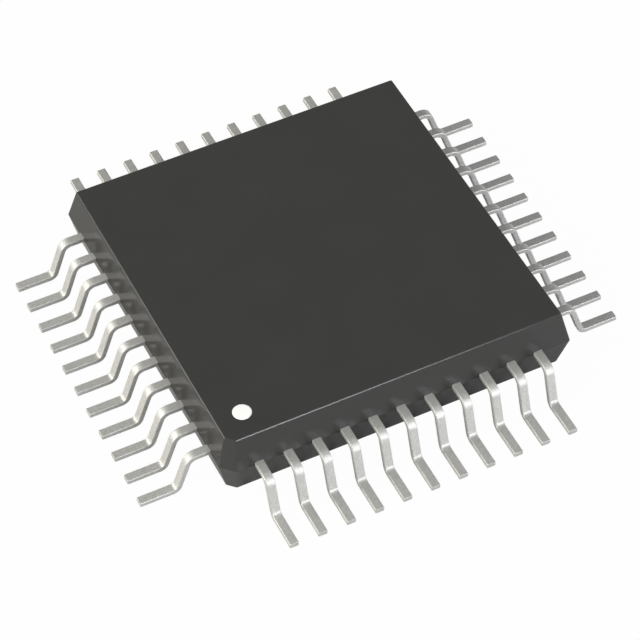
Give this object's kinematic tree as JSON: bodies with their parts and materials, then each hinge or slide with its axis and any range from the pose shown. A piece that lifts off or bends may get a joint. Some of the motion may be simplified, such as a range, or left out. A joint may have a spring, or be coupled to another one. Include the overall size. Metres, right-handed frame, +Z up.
{
  "type": "integrated circuit",
  "caption": "Square surface-mount integrated circuit: black moulded body, gull-wing leads on all four sides, a clipped corner and a white dot marking the first lead.",
  "frame": {"origin": "on the seating plane of the lead feet, under the middle of the body", "axes": "+Z up from the board; the clipped corner is towards -X and -Y; leads are numbered anticlockwise from it, seen from above"},
  "size_m": [0.0138, 0.0138, 0.0021],
  "materials": {
    "compound": "black moulded epoxy, fine satin texture",
    "ink": "flat white marking ink",
    "tinned_lead": "matte tin plate over a nickel-iron strip",
    "lead_frame": "bare nickel-iron strip, sealed in the compound",
    "silver_epoxy": "cured epoxy filled with silver flakes",
    "silicon": "polished silicon under a glassy film",
    "gold_wire": "drawn gold wire"
  },
  "bodies": {
    "root": {"moulded_body": "compound", "pin_one_dot": "ink", "die_paddle": "lead_frame", "die_attach": "silver_epoxy", "die": "silicon", "bond_wires_front": "gold_wire", "bond_wires_right": "gold_wire", "bond_wires_back": "gold_wire", "bond_wires_left": "gold_wire", "lead_01": "tinned_lead", "lead_02": "tinned_lead", "lead_03": "tinned_lead", "lead_04": "tinned_lead", "lead_05": "tinned_lead", "lead_06": "tinned_lead", "lead_07": "tinned_lead", "lead_08": "tinned_lead", "lead_09": "tinned_lead", "lead_10": "tinned_lead", "lead_11": "tinned_lead", "lead_12": "tinned_lead", "lead_13": "tinned_lead", "lead_14": "tinned_lead", "lead_15": "tinned_lead", "lead_16": "tinned_lead", "lead_17": "tinned_lead", "lead_18": "tinned_lead", "lead_19": "tinned_lead", "lead_20": "tinned_lead", "lead_21": "tinned_lead", "lead_22": "tinned_lead", "lead_23": "tinned_lead", "lead_24": "tinned_lead", "lead_25": "tinned_lead", "lead_26": "tinned_lead", "lead_27": "tinned_lead", "lead_28": "tinned_lead", "lead_29": "tinned_lead", "lead_30": "tinned_lead", "lead_31": "tinned_lead", "lead_32": "tinned_lead", "lead_33": "tinned_lead", "lead_34": "tinned_lead", "lead_35": "tinned_lead", "lead_36": "tinned_lead", "lead_37": "tinned_lead", "lead_38": "tinned_lead", "lead_39": "tinned_lead", "lead_40": "tinned_lead", "lead_41": "tinned_lead", "lead_42": "tinned_lead", "lead_43": "tinned_lead", "lead_44": "tinned_lead"}
  },
  "joints": []
}
